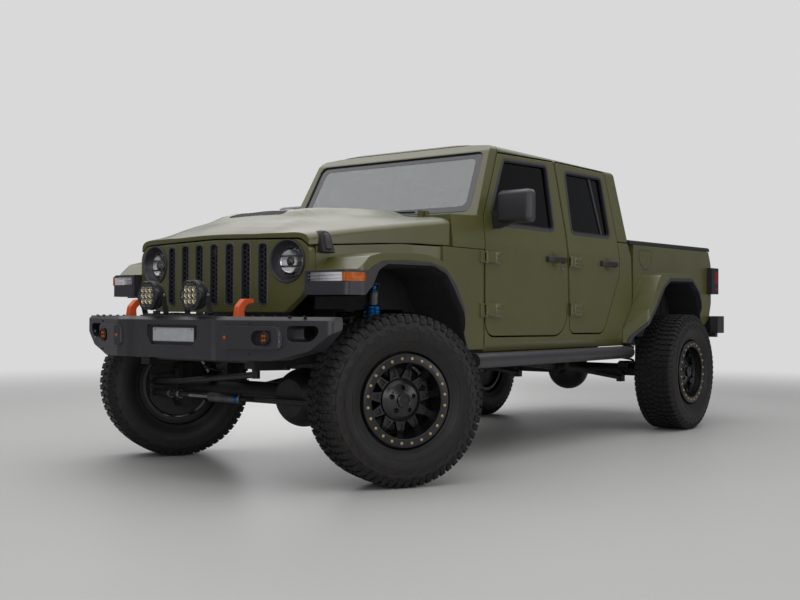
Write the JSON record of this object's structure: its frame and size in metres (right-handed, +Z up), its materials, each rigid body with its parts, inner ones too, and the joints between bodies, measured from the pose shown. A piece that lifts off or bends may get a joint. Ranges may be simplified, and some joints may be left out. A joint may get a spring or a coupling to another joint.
{
  "type": "double-cab off-road pickup truck",
  "caption": "Lifted four-door off-road pickup with steered beadlock wheels, open steel bumper, solid axles, opening doors, hood and tailgate.",
  "frame": {"origin": "on the floor under the middle of the truck's overall box", "axes": "+X to the truck's left side, +Y to the rear, +Z up; the front faces -Y"},
  "size_m": [2.4782, 5.502, 1.965],
  "materials": {
    "body_paint": "satin olive green paint",
    "glass": "lightly tinted safety glass",
    "bumper_coat": "fine textured dark coat on steel",
    "frame_black": "black frame paint",
    "axle_black": "black chassis paint",
    "suspension_steel": "silver and blue shock absorbers with black springs",
    "drivetrain_alloy": "cast alloy, dull",
    "liner_plastic": "moulded black liner",
    "cover_vinyl": "black coated fabric",
    "lamp_lens": "clear lamp lens",
    "seat_leather": "black leather",
    "cab_plastic": "grained black plastic",
    "knuckle_iron": "cast iron, raw",
    "tyre": "black rubber, dusty",
    "wheel_black": "satin black wheel paint"
  },
  "bodies": {
    "chassis": {"frame": "frame_black", "front_axle": "axle_black", "rear_axle": "axle_black", "suspension": "suspension_steel", "drivetrain": "drivetrain_alloy", "engine": "drivetrain_alloy", "fuel_tank": "axle_black", "cab_tub": "body_paint", "windshield_frame": "body_paint", "hard_top": "body_paint", "cab_glass": "glass", "grille": "body_paint", "fender_left": "body_paint", "fender_right": "body_paint", "wheel_liners": "liner_plastic", "moulded_trim": "liner_plastic", "bed": "body_paint", "bed_cover": "cover_vinyl", "front_bumper": "bumper_coat", "rear_bumper": "bumper_coat", "rock_rails": "bumper_coat", "lamps": "lamp_lens", "seats": "seat_leather", "dashboard": "cab_plastic"},
    "hood": {"hood": "body_paint"},
    "tailgate": {"tailgate": "body_paint"},
    "steering_wheel": {"steering_wheel": "cab_plastic"},
    "pitman_arm": {"pitman_arm": "axle_black"},
    "steering_links": {"steering_links": "axle_black"},
    "knuckle_left": {"knuckle_left": "knuckle_iron"},
    "knuckle_right": {"knuckle_right": "knuckle_iron"},
    "wheel_front_left": {"tyre_front_left": "tyre", "wheel_front_left": "wheel_black"},
    "door_front_left": {"door_front_left": "body_paint", "glass_front_left": "glass"},
    "wheel_front_right": {"tyre_front_right": "tyre", "wheel_front_right": "wheel_black"},
    "door_front_right": {"door_front_right": "body_paint", "glass_front_right": "glass"},
    "wheel_rear_left": {"tyre_rear_left": "tyre", "wheel_rear_left": "wheel_black"},
    "door_rear_left": {"door_rear_left": "body_paint", "glass_rear_left": "glass"},
    "wheel_rear_right": {"tyre_rear_right": "tyre", "wheel_rear_right": "wheel_black"},
    "door_rear_right": {"door_rear_right": "body_paint", "glass_rear_right": "glass"}
  },
  "joints": [
    {"name": "steer_left", "type": "hinge", "parent": "chassis", "child": "knuckle_left", "pos_m": [0.822, -1.961, 0.442], "axis": [0, 0, 1], "range_deg": [-4, 60]},
    {"name": "steer_right", "type": "hinge", "parent": "chassis", "child": "knuckle_right", "pos_m": [-0.822, -1.961, 0.442], "axis": [0, 0, 1], "range_deg": [-4.2, 60.2]},
    {"name": "steering_links_swing", "type": "hinge", "parent": "knuckle_left", "child": "steering_links", "pos_m": [0.74454, -2.10669, 0.397], "axis": [0, 0, 1], "range_deg": [-60.2, 4.2]},
    {"name": "pitman_turn", "type": "hinge", "parent": "chassis", "child": "pitman_arm", "pos_m": [0.3, -2.186, 0.65], "axis": [0, 0, 1], "range_deg": [-4.2, 60.2]},
    {"name": "steering_wheel_turn", "type": "hinge", "parent": "chassis", "child": "steering_wheel", "pos_m": [0.37, -0.541, 1.33], "axis": [0, 0.8988, 0.4384], "range_deg": [-58, 845]},
    {"name": "wheel_front_left_spin", "type": "hinge", "parent": "knuckle_left", "child": "wheel_front_left", "pos_m": [0.91029, -2.00795, 0.442], "axis": [0.8829, -0.4695, 0], "continuous": true},
    {"name": "wheel_rear_left_spin", "type": "hinge", "parent": "chassis", "child": "wheel_rear_left", "pos_m": [0.922, 1.526, 0.442], "axis": [1, 0, 0], "continuous": true},
    {"name": "door_front_left_swing", "type": "hinge", "parent": "chassis", "child": "door_front_left", "pos_m": [0.796, -0.966, 1], "axis": [0, 0, -1], "range_deg": [0, 65]},
    {"name": "door_rear_left_swing", "type": "hinge", "parent": "chassis", "child": "door_rear_left", "pos_m": [0.796, 0.086, 1], "axis": [0, 0, -1], "range_deg": [0, 68]},
    {"name": "wheel_front_right_spin", "type": "hinge", "parent": "knuckle_right", "child": "wheel_front_right", "pos_m": [-0.91029, -1.91405, 0.442], "axis": [0.8829, -0.4695, 0], "continuous": true},
    {"name": "wheel_rear_right_spin", "type": "hinge", "parent": "chassis", "child": "wheel_rear_right", "pos_m": [-0.922, 1.526, 0.442], "axis": [1, 0, 0], "continuous": true},
    {"name": "door_front_right_swing", "type": "hinge", "parent": "chassis", "child": "door_front_right", "pos_m": [-0.796, -0.966, 1], "axis": [0, 0, 1], "range_deg": [0, 65]},
    {"name": "door_rear_right_swing", "type": "hinge", "parent": "chassis", "child": "door_rear_right", "pos_m": [-0.796, 0.086, 1], "axis": [0, 0, 1], "range_deg": [0, 68]},
    {"name": "hood_lift", "type": "hinge", "parent": "chassis", "child": "hood", "pos_m": [0, -1.293, 1.48], "axis": [-1, 0, 0], "range_deg": [0, 50]},
    {"name": "tailgate_drop", "type": "hinge", "parent": "chassis", "child": "tailgate", "pos_m": [0, 2.605, 0.918], "axis": [-1, 0, 0], "range_deg": [0, 88]}
  ],
  "couplings": [
    {"joint": "steer_right", "follows": "steer_left", "ratio": 1},
    {"joint": "steering_links_swing", "follows": "steer_left", "ratio": -1},
    {"joint": "pitman_turn", "follows": "steer_left", "ratio": 1},
    {"joint": "steering_wheel_turn", "follows": "steer_left", "ratio": 14}
  ]
}
